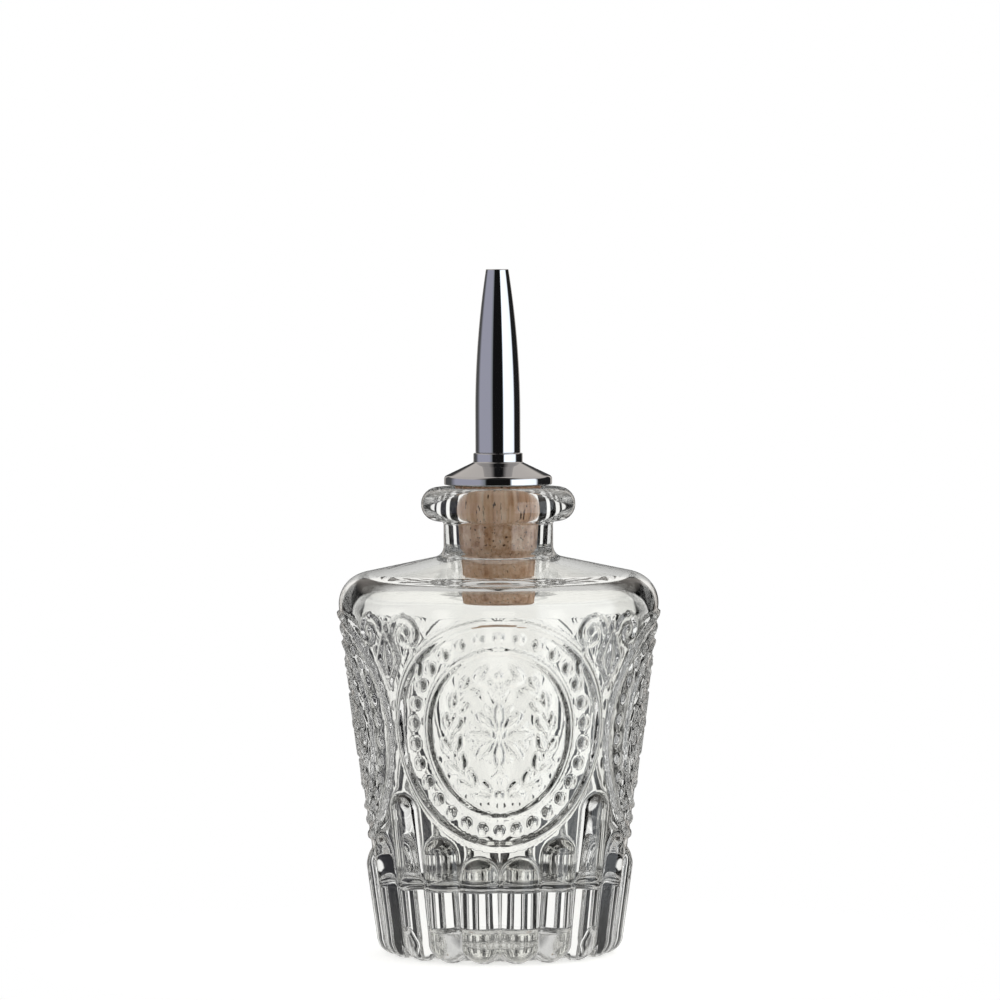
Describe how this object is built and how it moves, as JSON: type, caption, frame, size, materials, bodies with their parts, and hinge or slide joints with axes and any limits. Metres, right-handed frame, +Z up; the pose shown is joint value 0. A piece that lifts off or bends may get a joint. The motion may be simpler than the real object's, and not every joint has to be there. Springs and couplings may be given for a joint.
{
  "type": "bitters bottle",
  "caption": "Pressed clear glass bottle with a ribbed foot and oval medallions, stoppered by a cork with a metal dash pourer, for adding bitters drop by drop.",
  "frame": {"origin": "centre of the base, on the surface that the bottle stands on", "axes": "+Z up along the bottle's axis to the tip of the pourer, -Y out of the front medallion, +X out of the next one to its right"},
  "size_m": [0.0712, 0.0712, 0.15],
  "materials": {
    "glass": "clear pressed soda-lime glass, fire polished",
    "cork": "natural cork with fine dark lenticels",
    "steel": "plain drawn stainless steel tube",
    "chrome": "bright chrome plating, mirror polished",
    "plastic": "natural white polyethylene"
  },
  "bodies": {
    "bottle": {"bottle": "glass"},
    "pourer": {"cork_stopper": "cork", "stem_tube": "steel", "flange_cap": "chrome", "spout_tube": "chrome", "dash_insert": "plastic"}
  },
  "joints": [
    {"name": "pourer_lift", "type": "slide", "parent": "bottle", "child": "pourer", "axis": [0, 0, 1], "range_m": [0, 0.03]}
  ]
}
